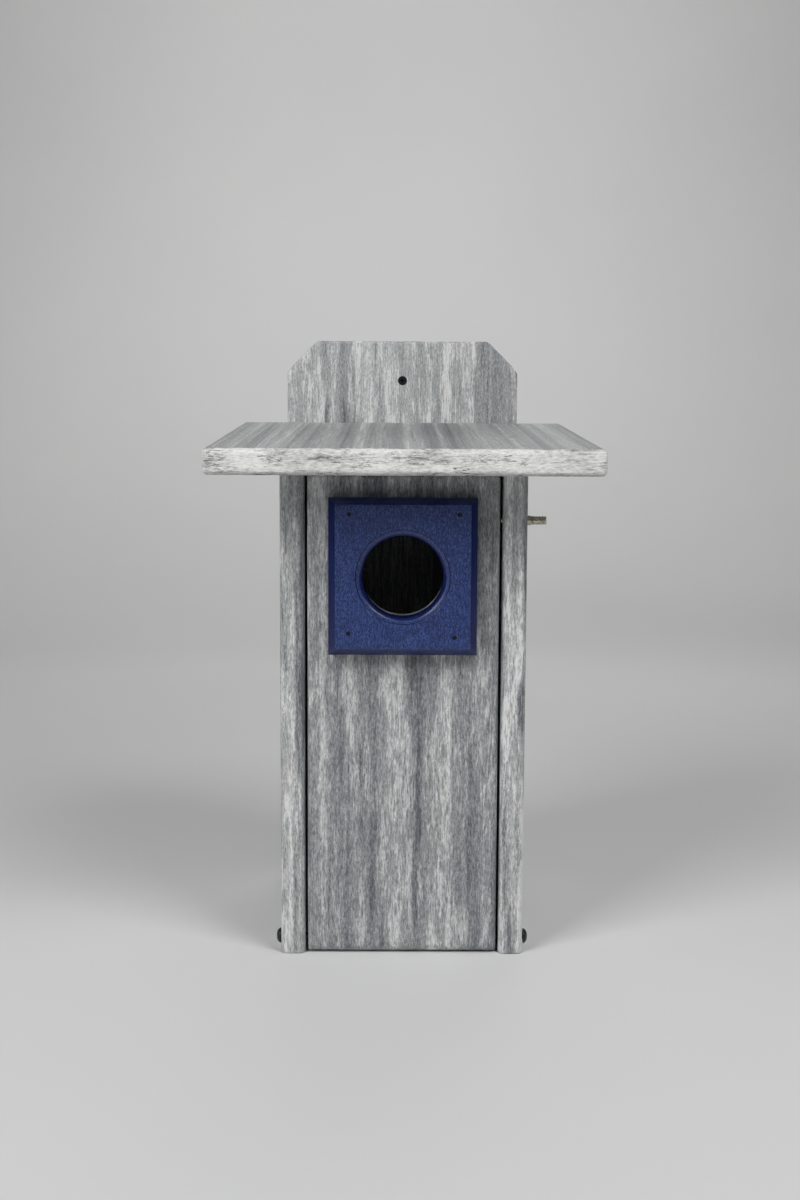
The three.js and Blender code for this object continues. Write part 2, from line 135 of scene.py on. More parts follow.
def cut(piece, cutters):
    """Subtracts each cutter mesh, given in the frame's own coordinates."""
    joined = bmesh.new()
    for cutter in cutters:
        joined.from_mesh(cutter)
        bpy.data.meshes.remove(cutter)
    mesh = bpy.data.meshes.new(piece.name + "_cut")
    joined.to_mesh(mesh)
    joined.free()
    tool = new_object(piece.name + "_cut", mesh)
    boolean = piece.modifiers.new("cut", "BOOLEAN")
    boolean.operation = "DIFFERENCE"
    boolean.solver = "EXACT"
    boolean.object = tool
    apply_modifiers(piece)
    bpy.data.objects.remove(tool)
    bpy.data.meshes.remove(mesh)


# ------------------------------------------------------------------ turned shapes
def ring_points(place, radius, z, sides):
    turns = [2 * math.pi * i / sides for i in range(sides)]
    return [place @ Vector((radius * math.cos(turn), radius * math.sin(turn), z)) for turn in turns]


def hoop_faces(rings, per_ring):
    """Quads between neighbouring rings of points, the last ring joined to the first."""
    faces = []
    for a in range(rings):
        b = (a + 1) % rings
        for i in range(per_ring):
            j = (i + 1) % per_ring
            faces.append((a * per_ring + i, a * per_ring + j, b * per_ring + j, b * per_ring + i))
    return faces


def lathe(profile, sides, place=Matrix.Identity(4)):
    """A closed turned mesh about local Z. The profile runs from axis to axis as (radius, z)."""
    vertices, rings = [], []
    for radius, z in profile:
        if radius < 1e-9:
            rings.append([len(vertices)])
            vertices.append(place @ Vector((0, 0, z)))
            continue
        rings.append(list(range(len(vertices), len(vertices) + sides)))
        vertices += ring_points(place, radius, z, sides)
    faces = []
    for low, high in zip(rings, rings[1:]):
        for i in range(sides):
            j = (i + 1) % sides
            if len(low) == 1:
                faces.append((low[0], high[j], high[i]))
            elif len(high) == 1:
                faces.append((low[i], low[j], high[0]))
            else:
                faces.append((low[i], low[j], high[j], high[i]))
    return mesh_from("turned", vertices, faces)


def ring_lathe(profile, sides, place):
    """A closed turned ring about local Z, from a closed (radius, z) profile."""
    vertices = []
    for radius, z in profile:
        vertices += ring_points(place, radius, z, sides)
    return mesh_from("ring", vertices, hoop_faces(len(profile), sides))


def pointing(origin, direction):
    """A matrix whose local -Z runs along direction from origin."""
    turn = Vector((0, 0, -1)).rotation_difference(direction.normalized())
    return Matrix.Translation(origin) @ turn.to_matrix().to_4x4()


def rod_between(start, end, radius, sides=48):
    length = (end - start).length
    profile = [(0, -length), (radius, -length), (radius, 0), (0, 0)]
    return lathe(profile, sides, pointing(start, end - start))


def box_mesh(low, high):
    corners = [
        (x, y, z) for z in (low[2], high[2]) for y in (low[1], high[1]) for x in (low[0], high[0])
    ]
    faces = [(0, 2, 3, 1), (4, 5, 7, 6), (0, 1, 5, 4), (2, 6, 7, 3), (0, 4, 6, 2), (1, 3, 7, 5)]
    return mesh_from("box", corners, faces)


# ------------------------------------------------------------------ boards
def grid_lines(low, high, ease_low, ease_high, step):
    """Places along one axis: close together in the two rounded ends, evenly spaced between."""
    bends = [math.tan(math.pi / 4 * (1 - i / EASE_STEPS)) for i in range(EASE_STEPS)]
    first = [low + ease_low * (1 - bend) for bend in bends]
    last = [high - ease_high * (1 - bend) for bend in reversed(bends)]
    start, stop = low + ease_low, high - ease_high
    count = max(1, round((stop - start) / step))
    return first + [start + (stop - start) * i / count for i in range(count + 1)] + last


def rounded_point(point, low, high, ease_low, ease_high):
    """Maps a point on a box's surface to the rounded box, with its outward normal."""
    core, lean = Vector(), Vector()
    for axis in range(3):
        bottom, top = low[axis] + ease_low[axis], high[axis] - ease_high[axis]
        core[axis] = min(max(point[axis], bottom), top)
        ease = ease_low[axis] if point[axis] < bottom else ease_high[axis]
        lean[axis] = (point[axis] - core[axis]) / ease
    lean.normalize()
    placed, normal = core.copy(), Vector()
    for axis in range(3):
        ease = ease_low[axis] if lean[axis] < 0 else ease_high[axis]
        placed[axis] += lean[axis] * ease
        normal[axis] = lean[axis] / ease
    return placed, normal.normalized()


def stretched_noise(point, grain, across, along, seed):
    """Noise whose features are long in the grain's direction, from -1 to 1."""
    sample = Vector(point) / across
    sample[grain] = point[grain] / along
    return noise.noise(sample + Vector((seed, 1.7 * seed, -seed)))


def grain_depth(point, grain, seed):
    """How far the embossed grain lies under the board's surface, from 0 to 1."""
    wide = stretched_noise(point, grain, 6.0 * MM, 90 * MM, seed)
    narrow = stretched_noise(point, grain, 2.2 * MM, 30 * MM, seed + 9)
    return min(max(0.5 + 0.45 * wide + 0.55 * narrow, 0.0), 1.0)


def board(name, low, high, ease_low, ease_high, grain, seed, steps,
          shape=None, extra_depth=None, low_marks=()):
    """A board with rounded edges and embossed grain, as one closed quad mesh.

    shape moves each point of the plain rounded board to its place, and extra_depth adds local wear.
    low_marks are extra grid lines, as heights above the lower rounded edge.
    """
    lines = [grid_lines(low[a], high[a], ease_low[a], ease_high[a], steps[a]) for a in range(3)]
    lines[Z_AXIS] = sorted(set(lines[Z_AXIS]) | {low.z + ease_low.z + mark for mark in low_marks})
    last = [len(line) - 1 for line in lines]
    index, vertices = {}, []

    def vertex(key):
        if key not in index:
            flat = [lines[a][key[a]] for a in range(3)]
            placed, normal = rounded_point(flat, low, high, ease_low, ease_high)
            depth = RELIEF * grain_depth(placed, grain, seed)
            if extra_depth:
                depth += extra_depth(placed, normal)
            placed = placed - normal * depth
            index[key] = len(vertices)
            vertices.append(shape(placed) if shape else placed)
        return index[key]

    faces = []
    for axis in range(3):
        u, v = (axis + 1) % 3, (axis + 2) % 3
        for side in (0, last[axis]):
            for i in range(last[u]):
                for j in range(last[v]):
                    corner = []
                    for di, dj in ((0, 0), (1, 0), (1, 1), (0, 1)):
                        key = [0, 0, 0]
                        key[axis], key[u], key[v] = side, i + di, j + dj
                        corner.append(vertex(tuple(key)))
                    faces.append(corner if side else corner[::-1])
    return new_object(name, mesh_from(name, vertices, faces))


def steps_for(grain, thin, thin_step=1.2 * MM):
    """Grid spacings of a board by axis."""
    steps = [ACROSS_STEP] * 3
    steps[grain] = ALONG_STEP
    steps[thin] = thin_step
    return steps


# ------------------------------------------------------------------ fasteners
class Fastener:
    """The sizes of one kind of screw or nail, in metres, its head's top at the origin."""

    def __init__(self, head, head_depth, shank, length, slot, domed=False, threaded=True):
        self.head = head * MM
        self.head_depth = head_depth * MM
        self.shank = shank * MM
        self.length = length * MM
        self.slot = slot * MM
        self.domed = domed
        self.threaded = threaded


DECK_SCREW = Fastener(3.3, 2.2, 1.55, 31.8, 0.85)
TRIM_SCREW = Fastener(2.35, 2.0, 1.4, 31.8, 0.6)
MOUNT_SCREW = Fastener(2.42, 2.0, 1.25, 10.4, 0.72)
PIVOT_SCREW = Fastener(3.72, 2.2, 2.0, 29.6, 1.05, domed=True)
NAIL = Fastener(0.85, 0.5, 0.62, 21.8, 0, threaded=False)

THREAD_TURN_STEPS = 6
THREAD_SIDES = 18
HEAD_SIDES = 48


def shank_mesh(kind):
    """The screw's threaded shank with its point, from under the head."""
    top, bottom = -kind.head_depth * 0.7, -kind.length
    pitch = kind.shank * 1.25
    smooth_end = top - kind.shank * 1.5
    point_start = bottom + kind.shank * 2.2
    count = int((top - bottom) / pitch * THREAD_TURN_STEPS)
    vertices, faces = [], []
    for ring in range(count + 1):
        z = top + (bottom - top) * ring / count
        taper = min(1.0, max(0.08, (z - bottom) / (point_start - bottom)))
        for i in range(THREAD_SIDES):
            turn = i / THREAD_SIDES
            phase = (z / pitch - turn) % 1.0
            crest = max(0.0, 1 - abs(phase - 0.5) / 0.28) if z < smooth_end else 0.0
            radius = kind.shank * taper * (0.74 + 0.26 * crest)
            angle = 2 * math.pi * turn
            vertices.append(Vector((radius * math.cos(angle), radius * math.sin(angle), z)))
    for ring in range(count):
        for i in range(THREAD_SIDES):
            j = (i + 1) % THREAD_SIDES
            a, b = ring * THREAD_SIDES, (ring + 1) * THREAD_SIDES
            faces.append((a + i, b + i, b + j, a + j))
    faces.append(tuple(range(THREAD_SIDES)))
    faces.append(tuple(reversed(range(count * THREAD_SIDES, (count + 1) * THREAD_SIDES))))
    return mesh_from("shank", vertices, faces)


def head_profile(kind):
    """The head's profile from its lower axis point to its upper one."""
    head, depth, shank = kind.head, kind.head_depth, kind.shank
    if not kind.domed:
        rim = 0.12 * depth
        return [
            (0, -depth * 1.3),
            (shank * 0.72, -depth * 1.3),
            (shank * 0.78, -depth * 0.98),
            (head * 0.97, -2.2 * rim),
            (head, -1.6 * rim),
            (head, -0.5 * rim),
            (head - 0.5 * rim, 0),
            (0, 0),
        ]
    crown = [
        (head * math.sin(a), -depth * 0.78 * (1 - math.cos(a)) / (1 - math.cos(1.32)))
        for a in [1.32 * (8 - i) / 8 for i in range(8)]
    ]
    return [
        (0, -depth * 1.25),
        (shank * 0.72, -depth * 1.25),
        (shank * 0.78, -depth),
        (head * 0.95, -depth),
        (head * 0.985, -depth * 0.94),
        *crown,
        (0, 0),
    ]


def cross_cutter(kind):
    """A tapered cross, wide at the head's top."""
    reach, deep = kind.head * 0.56, kind.head_depth * 0.72
    vertices = []
    rim = kind.head_depth * 0.4
    for z, scale in ((-deep, 0.42), (rim, 1.0 + rim / deep * 0.58)):
        r, w = reach * scale, kind.slot / 2 * (0.55 + 0.45 * scale)
        outline = [
            (r, -w), (r, w), (w, w), (w, r), (-w, r), (-w, w),
            (-r, w), (-r, -w), (-w, -w), (-w, -r), (w, -r), (w, -w),
        ]
        vertices += [(x, y, z) for x, y in outline]
    sides = 12
    faces = [tuple(reversed(range(sides))), tuple(range(sides, 2 * sides))]
    faces += [(i, (i + 1) % sides, sides + (i + 1) % sides, sides + i) for i in range(sides)]
    return mesh_from("cross", vertices, faces)


def fastener_mesh(kind):
    """One fastener, closed, its head joined to its shank."""
    piece = new_object("fastener", lathe(head_profile(kind), HEAD_SIDES))
    if kind.slot:
        cut(piece, [cross_cutter(kind)])
    if kind.threaded:
        shank = shank_mesh(kind)
    else:
        bottom = -kind.length
        shank = lathe(
            [(0, bottom), (kind.shank, bottom + 2 * MM), (kind.shank, -kind.head_depth * 0.5),
             (0, -kind.head_depth * 0.5)], 16,
        )
    rod = new_object("rod", shank)
    union = piece.modifiers.new("join", "BOOLEAN")
    union.operation = "UNION"
    union.solver = "EXACT"
    union.object = rod
    apply_modifiers(piece)
    bpy.data.objects.remove(rod)
    shade(piece, 35)
    mesh = piece.data
    bpy.data.objects.remove(piece)
    return mesh


def drill_profile(kind, clearance, run_out=3 * MM):
    """The hole that a fastener needs, with its countersink, open at the top."""
    bottom = -kind.length - clearance
    shank = kind.shank + clearance
    if kind.domed:
        return [(0, bottom), (shank, bottom), (shank, run_out), (0, run_out)]
    head = kind.head + clearance
    depth = kind.head_depth
    return [
        (0, bottom), (shank, bottom), (shank, -depth - clearance),
        (head, -depth * 0.15 - clearance), (head, run_out), (0, run_out),
    ]


def head_place(node, direction):
    """Where a CAD fastener's head lies, as a matrix, from the node's own box."""
    low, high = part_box(node)
    centre = (low + high) / 2
    direction = Vector(direction)
    if abs(direction.z) > 0.5:
        # A roof screw leans with the roof: its head is the box's upper, forward end.
        radius = TRIM_SCREW.head
        top = Vector((centre.x, low.y + radius, high.z - radius * math.sin(ROOF_SLOPE)))
        return pointing(top, direction)
    axis = max(range(3), key=lambda a: abs(direction[a]))
    top = centre.copy()
    top[axis] = low[axis] if direction[axis] > 0 else high[axis]
    return pointing(top, direction)


INTO_FRONT, INTO_BACK = (0, -1, 0), (0, 1, 0)
INTO_RIGHT, INTO_LEFT = (1, 0, 0), (-1, 0, 0)
INTO_ROOF = (0, math.sin(ROOF_SLOPE), -math.cos(ROOF_SLOPE))


def fastener_plan():
    """Each CAD fastener with its kind, its direction and the boards that it passes through."""
    plan = [("mounting_screw", MOUNT_SCREW, INTO_BACK, ["back_board"])]

    def row(name, count, kind, direction, boards):
        return [(f"{name}_{i}", kind, direction, boards) for i in range(1, count + 1)]

    for word, inward in (("left", INTO_RIGHT), ("right", INTO_LEFT)):
        side = word + "_side"
        plan += row(f"back_screw_{word}", 3, DECK_SCREW, INTO_FRONT, ["back_board", side])
        plan += row(f"roof_screw_{word}", 2, TRIM_SCREW, INTO_ROOF, ["roof", side])
        plan += row(f"floor_screw_{word}", 2, DECK_SCREW, inward, [side, "floor_panel"])
        plan.append((f"pivot_screw_{word}", PIVOT_SCREW, inward, [side, "front_panel"]))
    for word, target in (("floor", "floor_panel"), ("roof", "roof")):
        plan += row(f"back_{word}_screw", 2, DECK_SCREW, INTO_FRONT, ["back_board", target])
    return plan + row("plate_nail", 4, NAIL, INTO_BACK, ["entrance_plate", "front_panel"])


PLAN = [(node, kind, head_place(node, way), boards) for node, kind, way, boards in fastener_plan()]


def drill_holes(board_name):
    """The cutters for every fastener that passes through a board."""
    cutters = []
    for _, kind, place, boards in PLAN:
        if board_name in boards:
            free = kind.domed and board_name.endswith("_side")
            clearance = PIVOT_CLEARANCE if free else HOLE_CLEARANCE
            cutters.append(lathe(drill_profile(kind, clearance), 32, place))
    return cutters


# ------------------------------------------------------------------ node trees
def add(tree, kind, inputs=None, out=0, **settings):
    """Adds a shader node. Inputs are values or other nodes' outputs, by socket name or index."""
    node = tree.nodes.new("ShaderNode" + kind)
    for key, value in settings.items():
        setattr(node, key, value)
    for key, value in (inputs or {}).items():
        if isinstance(value, bpy.types.NodeSocket):
            tree.links.new(value, node.inputs[key])
        else:
            node.inputs[key].default_value = value
    return node.outputs[out]


def math_node(tree, operation, first, second=0.0, clamp=False):
    return add(tree, "Math", {0: first, 1: second}, operation=operation, use_clamp=clamp)


def stretch(tree, value, low, high, to_low=0.0, to_high=1.0):
    """Maps low..high to to_low..to_high, clamped, with smooth ends."""
    places = {"Value": value, "From Min": low, "From Max": high, "To Min": to_low, "To Max": to_high}
    return add(tree, "MapRange", places, interpolation_type="SMOOTHSTEP")


def object_place(tree, offset):
    place = add(tree, "TexCoord", out="Object")
    return add(tree, "VectorMath", {0: place, 1: offset}, operation="ADD")


def scaled(tree, vector, scale):
    return add(tree, "VectorMath", {0: vector, 1: scale}, operation="MULTIPLY")


def noise_at(tree, vector, detail=2.0, roughness=0.5, distortion=0.0, out="Fac"):
    settings = {"Vector": vector, "Scale": 1.0, "Detail": detail, "Roughness": roughness,
                "Distortion": distortion}
    return add(tree, "TexNoise", settings, out=out)


def colour_ramp(tree, value, stops):
    node = tree.nodes.new("ShaderNodeValToRGB")
    tree.links.new(value, node.inputs[0])
    elements = node.color_ramp.elements
    while len(elements) < len(stops):
        elements.new(1.0)
    for element, (place, colour) in zip(elements, stops):
        element.position = place
        element.color = (*colour, 1)
    return node.outputs[0]


def mix_colour(tree, factor, first, second, blend="MIX"):
    inputs = {"Factor": factor, 6: first, 7: second}
    return add(tree, "Mix", inputs, out=2, data_type="RGBA", blend_type=blend)


def rgba(colour):
    return (*colour, 1.0)


def new_material(name):
    material = bpy.data.materials.new(name)
    material.use_nodes = True
    tree = material.node_tree
    shader = tree.nodes["Principled BSDF"]
    return material, tree, shader


def connect(tree, output, shader, socket):
    tree.links.new(output, shader.inputs[socket])


# ------------------------------------------------------------------ materials
SLATE = (0.070, 0.076, 0.087)
DARK_GREY = (0.185, 0.194, 0.205)
MID_GREY = (0.365, 0.374, 0.378)
WHITE_GREY = (0.74, 0.742, 0.732)


SEED_SHIFT = (1.31, 0.77, 2.13)


class Look:
    """How one board's streaks differ from the next board's."""

    def __init__(self, seed, tone, pale=0.54, dark=0.57, band=17, gain=1.0, patch=1.0, fine=1.0,
                 length=1.0, tilt=0.0):
        self.seed = seed
        self.tone = tone  # lightness of the ground, 0 to 1
        self.pale = pale  # a lower value spreads the pale patches
        self.dark = dark  # and this one the dark patches
        self.band = band * MM  # width of the broad bands
        self.gain = gain  # contrast of the broad bands
        self.patch = patch  # contrast of the patches
        self.fine = fine  # contrast of the flecks
        self.length = length  # how far everything is drawn out along the grain
        self.tilt = tilt  # the board's slope about X


def along_grain(grain, across, along):
    """Noise scales per metre: features across the grain and along it, given in metres."""
    scale = [1 / across] * 3
    scale[grain] = 1 / along
    return tuple(scale)


def streaks(tree, place, grain, across, along, detail, roughness):
    """Noise drawn out along the grain, its features given in metres."""
    return noise_at(tree, scaled(tree, place, along_grain(grain, across, along)), detail, roughness)


def total(tree, start, *terms):
    """start plus the sum of value times weight over the terms."""
    for value, weight in terms:
        start = add(tree, "Math", {0: value, 1: weight, 2: start}, operation="MULTIPLY_ADD")
    return start


def lumber_layers(tree, grain, look):
    """The streaks of grey poly lumber: its place, its shade from 0 dark to 1 light, and a height."""
    seed = look.seed
    place = object_place(tree, tuple(seed * shift for shift in SEED_SHIFT))
    place = add(tree, "VectorRotate", {"Vector": place, "Angle": -look.tilt}, rotation_type="X_AXIS")
    drawn = look.length * MM
    sway = scaled(tree, place, along_grain(grain, 8 * MM, 26 * drawn))
    wobble = noise_at(tree, sway, 2.0, 0.6, out="Color")
    centred = add(tree, "VectorMath", {0: wobble, 1: (0.5, 0.5, 0.5)}, operation="SUBTRACT")
    reach = [3.0 * MM] * 3
    reach[grain] = 0.0
    bent = add(tree, "VectorMath", {0: place, 1: scaled(tree, centred, tuple(reach))}, operation="ADD")
    shifted = add(tree, "VectorMath", {0: bent, 1: (0.37, 0.61, 0.23)}, operation="ADD")

    band = streaks(tree, bent, grain, look.band, 420 * drawn, 2.0, 0.55)
    pale_patch = streaks(tree, bent, grain, 6.0 * MM, 44 * drawn, 5.0, 0.66)
    dark_patch = streaks(tree, shifted, grain, 2.6 * MM, 60 * drawn, 5.0, 0.66)
    fibre = streaks(tree, place, grain, 0.85 * MM, 7.0 * drawn, 3.0, 0.6)
    fleck = streaks(tree, place, grain, 0.55 * MM, 1.9 * MM, 1.0, 0.5)
    grit = streaks(tree, place, grain, 0.5 * MM, 0.5 * MM, 1.0, 0.5)

    pale = total(tree, -0.12, (pale_patch, 0.66), (fibre, 0.34), (band, 0.24))
    pale = stretch(tree, pale, look.pale - 0.035, look.pale + 0.055)
    dark = total(tree, 0.12, (dark_patch, 0.62), (fibre, 0.38), (band, -0.24))
    dark = stretch(tree, dark, look.dark - 0.035, look.dark + 0.055)
    terms = (
        (band, 0.62 * look.gain), (fibre, 0.66 * look.fine), (fleck, 0.72 * look.fine),
        (grit, 0.42 * look.fine), (pale_patch, 0.3 * look.patch),
    )
    ground = look.tone - 0.5 * sum(weight for _, weight in terms)
    shade_value = total(tree, ground, *terms, (pale, 0.21 * look.patch), (dark, -0.27 * look.patch))
    return place, shade_value, total(tree, fibre, (fleck, 0.8), (dark, -0.3))


def lumber_colour(tree, shade_value):
    return colour_ramp(tree, shade_value, [
        (0.0, SLATE), (0.30, DARK_GREY), (0.58, MID_GREY), (1.0, WHITE_GREY),
    ])


def bump(tree, height, strength, distance):
    return add(tree, "Bump", {"Strength": strength, "Distance": distance, "Height": height})


def lumber(name, grain, look, sawn_end=False):
    """Grey poly lumber. With sawn_end, the vertex attribute "end" blends in the roof's pale sawn front."""
    material, tree, shader = new_material(name)
    place, shade_value, height = lumber_layers(tree, grain, look)
    colour = lumber_colour(tree, shade_value)
    tint = noise_at(tree, scaled(tree, place, (45, 45, 45)), 1.0)
    tinted = mix_colour(tree, 0.5, colour, colour_ramp(tree, tint, [
        (0.35, (0.965, 0.98, 1.0)), (0.65, (1.0, 0.995, 0.985)),
    ]), "MULTIPLY")
    if sawn_end:
        tinted, height = add_sawn_end(tree, place, tinted, height)
    connect(tree, tinted, shader, "Base Color")
    connect(tree, stretch(tree, shade_value, 0.1, 0.9, 0.58, 0.74), shader, "Roughness")
    connect(tree, bump(tree, height, 0.6, 0.16 * MM), shader, "Normal")
    shader.inputs["Specular IOR Level"].default_value = 0.35
    return material


def crack_lines(tree, place, scale, width, seed):
    """Thin wandering lines where a noise crosses its middle value, broken up by another noise."""
    moved = add(tree, "VectorMath", {0: place, 1: (seed, 0.3 * seed, 0.7 * seed)}, operation="ADD")
    level = noise_at(tree, scaled(tree, moved, scale), 4.0, 0.62, 0.8)
    line = math_node(tree, "ABSOLUTE", math_node(tree, "SUBTRACT", level, 0.5))
    presence = noise_at(tree, scaled(tree, moved, (75, 75, 190)), 2.0)
    reach = stretch(tree, presence, 0.45, 0.68, 0.0, width)
    return add(tree, "MapRange", {
        "Value": math_node(tree, "SUBTRACT", reach, line),
        "From Min": 0.0, "From Max": 0.5 * width, "To Min": 0.0, "To Max": 1.0,
    })


def add_sawn_end(tree, place, colour, height):
    """The roof's front: near white, with thin grey cracks that lie level, and painted shade darkening it
    towards its foot.
    """
    end = add(tree, "Attribute", out="Fac", attribute_name="end")
    ragged = noise_at(tree, scaled(tree, place, (85, 85, 420)), 5.0, 0.7)
    mask = total(tree, end, (ragged, 1.1))
    mask = stretch(tree, mask, 0.88, 1.06)

    long_crack = crack_lines(tree, place, (38, 38, 330), 0.020, 0.0)
    short_crack = crack_lines(tree, place, (120, 120, 800), 0.040, 2.7)
    crack = math_node(tree, "MAXIMUM", long_crack, math_node(tree, "MULTIPLY", short_crack, 0.85))
    streak = noise_at(tree, scaled(tree, place, (380, 380, 1500)), 4.0, 0.75)
    cloud = noise_at(tree, scaled(tree, place, (34, 34, 110)), 3.0, 0.6)
    mixed = total(tree, 0.02, (streak, 0.68), (cloud, 0.34))
    pale = colour_ramp(tree, mixed, [
        (0.33, (0.30, 0.305, 0.30)), (0.46, (0.58, 0.585, 0.57)), (0.60, (0.86, 0.86, 0.84)),
    ])
    cracked = mix_colour(tree, math_node(tree, "MULTIPLY", crack, 0.9), pale, rgba((0.13, 0.135, 0.14)))
    # Painted shade: the colour is darkened towards the foot of the sawn front, following its height in the
    # board.
    rise = total(tree, add(tree, "Attribute", out="Fac", attribute_name="rise"), (ragged, 0.3))
    foot_shade = stretch(tree, rise, 0.16, 0.44, 0.62, 1.0)
    cracked = mix_colour(tree, 1.0, cracked, foot_shade, "MULTIPLY")
    blended = mix_colour(tree, mask, colour, cracked)
    end_height = total(tree, 1.5, (crack, -2.2), (streak, 1.2))
    mixed_height = add(tree, "Mix", {"Factor": mask, 2: height, 3: end_height}, data_type="FLOAT")
    return blended, mixed_height


def blue_lumber():
    """Deep blue poly lumber: a finely speckled face; its machined chamfers, rim and bore are smoother, and
    carry painted shade as a much darker blue.
    """
    material, tree, shader = new_material("blue_lumber")
    place = object_place(tree, (0.31, 0.12, 0.57))
    fleck = streaks(tree, place, Z_AXIS, 0.30 * MM, 1.0 * MM, 1.0, 0.5)
    streak = streaks(tree, place, Z_AXIS, 0.8 * MM, 14 * MM, 2.0, 0.6)
    mixed = total(tree, -0.63, (fleck, 1.9), (streak, 0.4))
    face = colour_ramp(tree, mixed, [
        (0.0, (0.0035, 0.011, 0.066)), (0.45, (0.0065, 0.019, 0.098)), (0.90, (0.045, 0.085, 0.270)),
    ])
    # Painted shade: the chamfers, rim and bore, which face neither front nor back, get this much darker
    # blue.
    shaded_milled_colour = colour_ramp(tree, total(tree, 0.0, (streak, 0.7), (fleck, 0.3)), [
        (0.35, (0.003, 0.008, 0.055)), (0.65, (0.007, 0.017, 0.105)),
    ])
    facing = add(tree, "SeparateXYZ", {0: add(tree, "TexCoord", out="Normal")}, out="Y")
    flat = stretch(tree, math_node(tree, "ABSOLUTE", facing), 0.80, 0.95)
    connect(tree, mix_colour(tree, flat, shaded_milled_colour, face), shader, "Base Color")
    rough = add(tree, "Mix", {"Factor": flat, 2: 0.17, 3: stretch(tree, fleck, 0.3, 0.7, 0.34, 0.5)})
    connect(tree, rough, shader, "Roughness")
    height = math_node(tree, "MULTIPLY", total(tree, fleck, (streak, 0.6)), total(tree, 0.35, (flat, 0.65)))
    connect(tree, bump(tree, height, 0.5, 0.12 * MM), shader, "Normal")
    shader.inputs["Specular IOR Level"].default_value = 0.5
    return material


def metal(name, dark, light, metallic, rough_low, rough_high, seed, mark=0.6 * MM):
    """A metal or coated metal with uneven tarnish and fine marks."""
    material, tree, shader = new_material(name)
    place = object_place(tree, (seed, 0.4 * seed, 0.9 * seed))
    tarnish = noise_at(tree, scaled(tree, place, (1 / (4 * mark),) * 3), 4.0, 0.65)
    fine = noise_at(tree, scaled(tree, place, (1 / mark,) * 3), 3.0, 0.6)
    mixed = total(tree, 0.0, (tarnish, 0.65), (fine, 0.35))
    connect(tree, colour_ramp(tree, mixed, [(0.35, dark), (0.65, light)]), shader, "Base Color")
    connect(tree, stretch(tree, mixed, 0.35, 0.65, rough_high, rough_low), shader, "Roughness")
    connect(tree, bump(tree, fine, 0.3, 0.04 * MM), shader, "Normal")
    shader.inputs["Metallic"].default_value = metallic
    return material


def studio_grey():
    """The pale floor and backdrop."""
    material, tree, shader = new_material("studio_grey")
    place = object_place(tree, (0, 0, 0))
    cloud = noise_at(tree, scaled(tree, place, (3, 3, 3)), 3.0, 0.5)
    tone = colour_ramp(tree, cloud, [(0.3, (0.785, 0.785, 0.785)), (0.7, (0.81, 0.81, 0.807))])
    connect(tree, tone, shader, "Base Color")
    shader.inputs["Roughness"].default_value = 0.8
    shader.inputs["Specular IOR Level"].default_value = 0.2
    return material


BACK_LOOK = Look(3.0, 0.59, band=16, gain=2.0, patch=1.2, length=1.4)
LEFT_LOOK = Look(11.0, 0.665, pale=0.53, dark=0.545, band=6, gain=1.3, patch=1.2)
RIGHT_LOOK = Look(17.0, 0.65, pale=0.53, dark=0.535, band=6, gain=1.3, patch=1.4)
FRONT_LOOK = Look(23.0, 0.47, pale=0.535, dark=0.555, band=12, gain=0.9)
ROOF_LOOK = Look(37.0, 0.61, pale=0.60, dark=0.54, band=7, gain=1.3, patch=0.7, length=9, tilt=ROOF_SLOPE)
MATERIALS = {
    "back_board": lumber("lumber_back", Z_AXIS, BACK_LOOK),
    "left_side": lumber("lumber_left", Z_AXIS, LEFT_LOOK),
    "right_side": lumber("lumber_right", Z_AXIS, RIGHT_LOOK),
    "front_panel": lumber("lumber_front", Z_AXIS, FRONT_LOOK),
    "floor_panel": lumber("lumber_floor", Y_AXIS, Look(29.0, 0.50)),
    "roof": lumber("lumber_roof", Y_AXIS, ROOF_LOOK, sawn_end=True),
    "entrance_plate": blue_lumber(),
}
BLACK_METAL = metal("black_screw", (0.008, 0.008, 0.009), (0.030, 0.030, 0.033), 0.3, 0.22, 0.42, 2.0)
BRASS = metal("latch_brass", (0.20, 0.18, 0.12), (0.72, 0.69, 0.55), 1.0, 0.20, 0.36, 5.0, mark=0.4 * MM)
NAIL_STEEL = metal("nail_steel", (0.012, 0.011, 0.008), (0.05, 0.045, 0.03), 0.9, 0.35, 0.55, 8.0)


# ------------------------------------------------------------------ the house's boards
def uniform(value):
    return Vector((value, value, value))


def roof_frame():
    """The roof's own frame: origin at its lower front edge, +Y up the slope, +Z its normal."""
    low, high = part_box("roof")
    thickness = roof_thickness()
    lift = (thickness - ROOF_EASE) * math.sin(ROOF_SLOPE)
    top_front = high.z - (high.y - low.y) * math.tan(ROOF_SLOPE) + ROOF_EASE * (1 - math.cos(ROOF_SLOPE))
    origin = Vector((0, low.y + lift, top_front - thickness * math.cos(ROOF_SLOPE)))
    return Matrix.Translation(origin) @ Matrix.Rotation(ROOF_SLOPE, 4, "X")


def roof_thickness():
    low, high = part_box("back_board")
    return high.y - low.y


def roof_underside(y):
    origin = roof_frame().translation
    return origin.z + (y - origin.y) * math.tan(ROOF_SLOPE)


def make_back_board():
    low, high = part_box("back_board")
    half = (high.x - low.x) / 2
    corner_start = high.z - BACK_CORNER

    def shape(point):
        """Draws in the top corners at 45 degrees."""
        over = max(0.0, point.z - corner_start)
        point.x *= (half - over) / half
        return point

    ease = uniform(BACK_EASE)
    piece = board("back_board_visual", low, high, ease, ease, Z_AXIS, 3.1, steps_for(Z_AXIS, Y_AXIS), shape)
    cut(piece, drill_holes("back_board"))
    return piece


